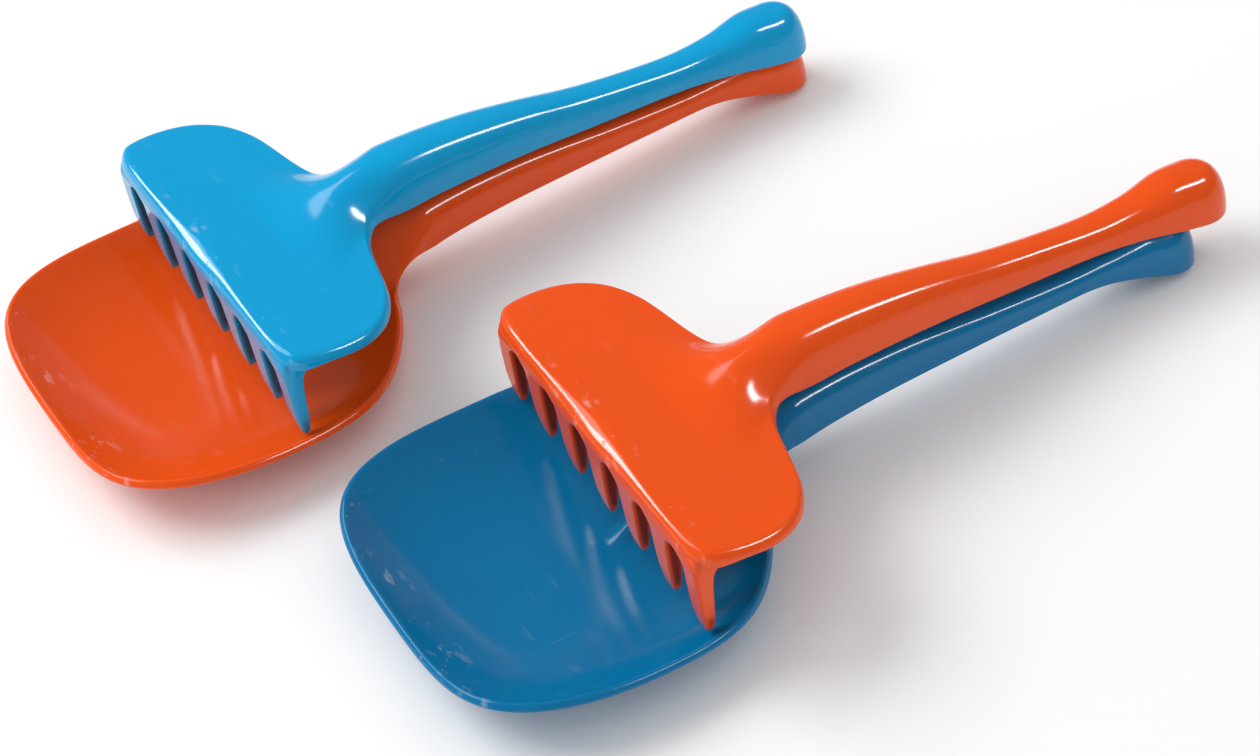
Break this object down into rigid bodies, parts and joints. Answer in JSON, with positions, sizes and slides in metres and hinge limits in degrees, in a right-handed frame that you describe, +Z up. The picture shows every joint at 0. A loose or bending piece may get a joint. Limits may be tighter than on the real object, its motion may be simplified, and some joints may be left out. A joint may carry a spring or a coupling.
{
  "type": "nested hand shovel and rake sets",
  "caption": "Children's garden hand tools: short-handled shovels, each with a toothed rake nested loosely on top, laid side by side.",
  "frame": {"origin": "centre of the bottom of the box round all four tools, on the ground they lie on", "axes": "+X along the handle of the set with the orange shovel, from lip to butt; +Y across the row, from the blue shovel towards the orange one; +Z up"},
  "size_m": [0.2814, 0.2232, 0.0432],
  "materials": {
    "orange_plastic": "glossy injection-moulded",
    "blue_plastic": "glossy injection-moulded"
  },
  "bodies": {
    "orange_shovel": {"orange_shovel": "orange_plastic"},
    "blue_rake": {"blue_rake": "blue_plastic"},
    "blue_shovel": {"blue_shovel": "blue_plastic"},
    "orange_rake": {"orange_rake": "orange_plastic"}
  },
  "joints": [
    {"name": "blue_rake_lift", "type": "slide", "parent": "orange_shovel", "child": "blue_rake", "axis": [0, 0, 1], "range_m": [0, 0.1]},
    {"name": "blue_shovel_slide", "type": "slide", "parent": "orange_shovel", "child": "blue_shovel", "axis": [0, -1, 0], "range_m": [0, 0.12]},
    {"name": "orange_rake_lift", "type": "slide", "parent": "blue_shovel", "child": "orange_rake", "axis": [0, 0, 1], "range_m": [0, 0.1]}
  ]
}
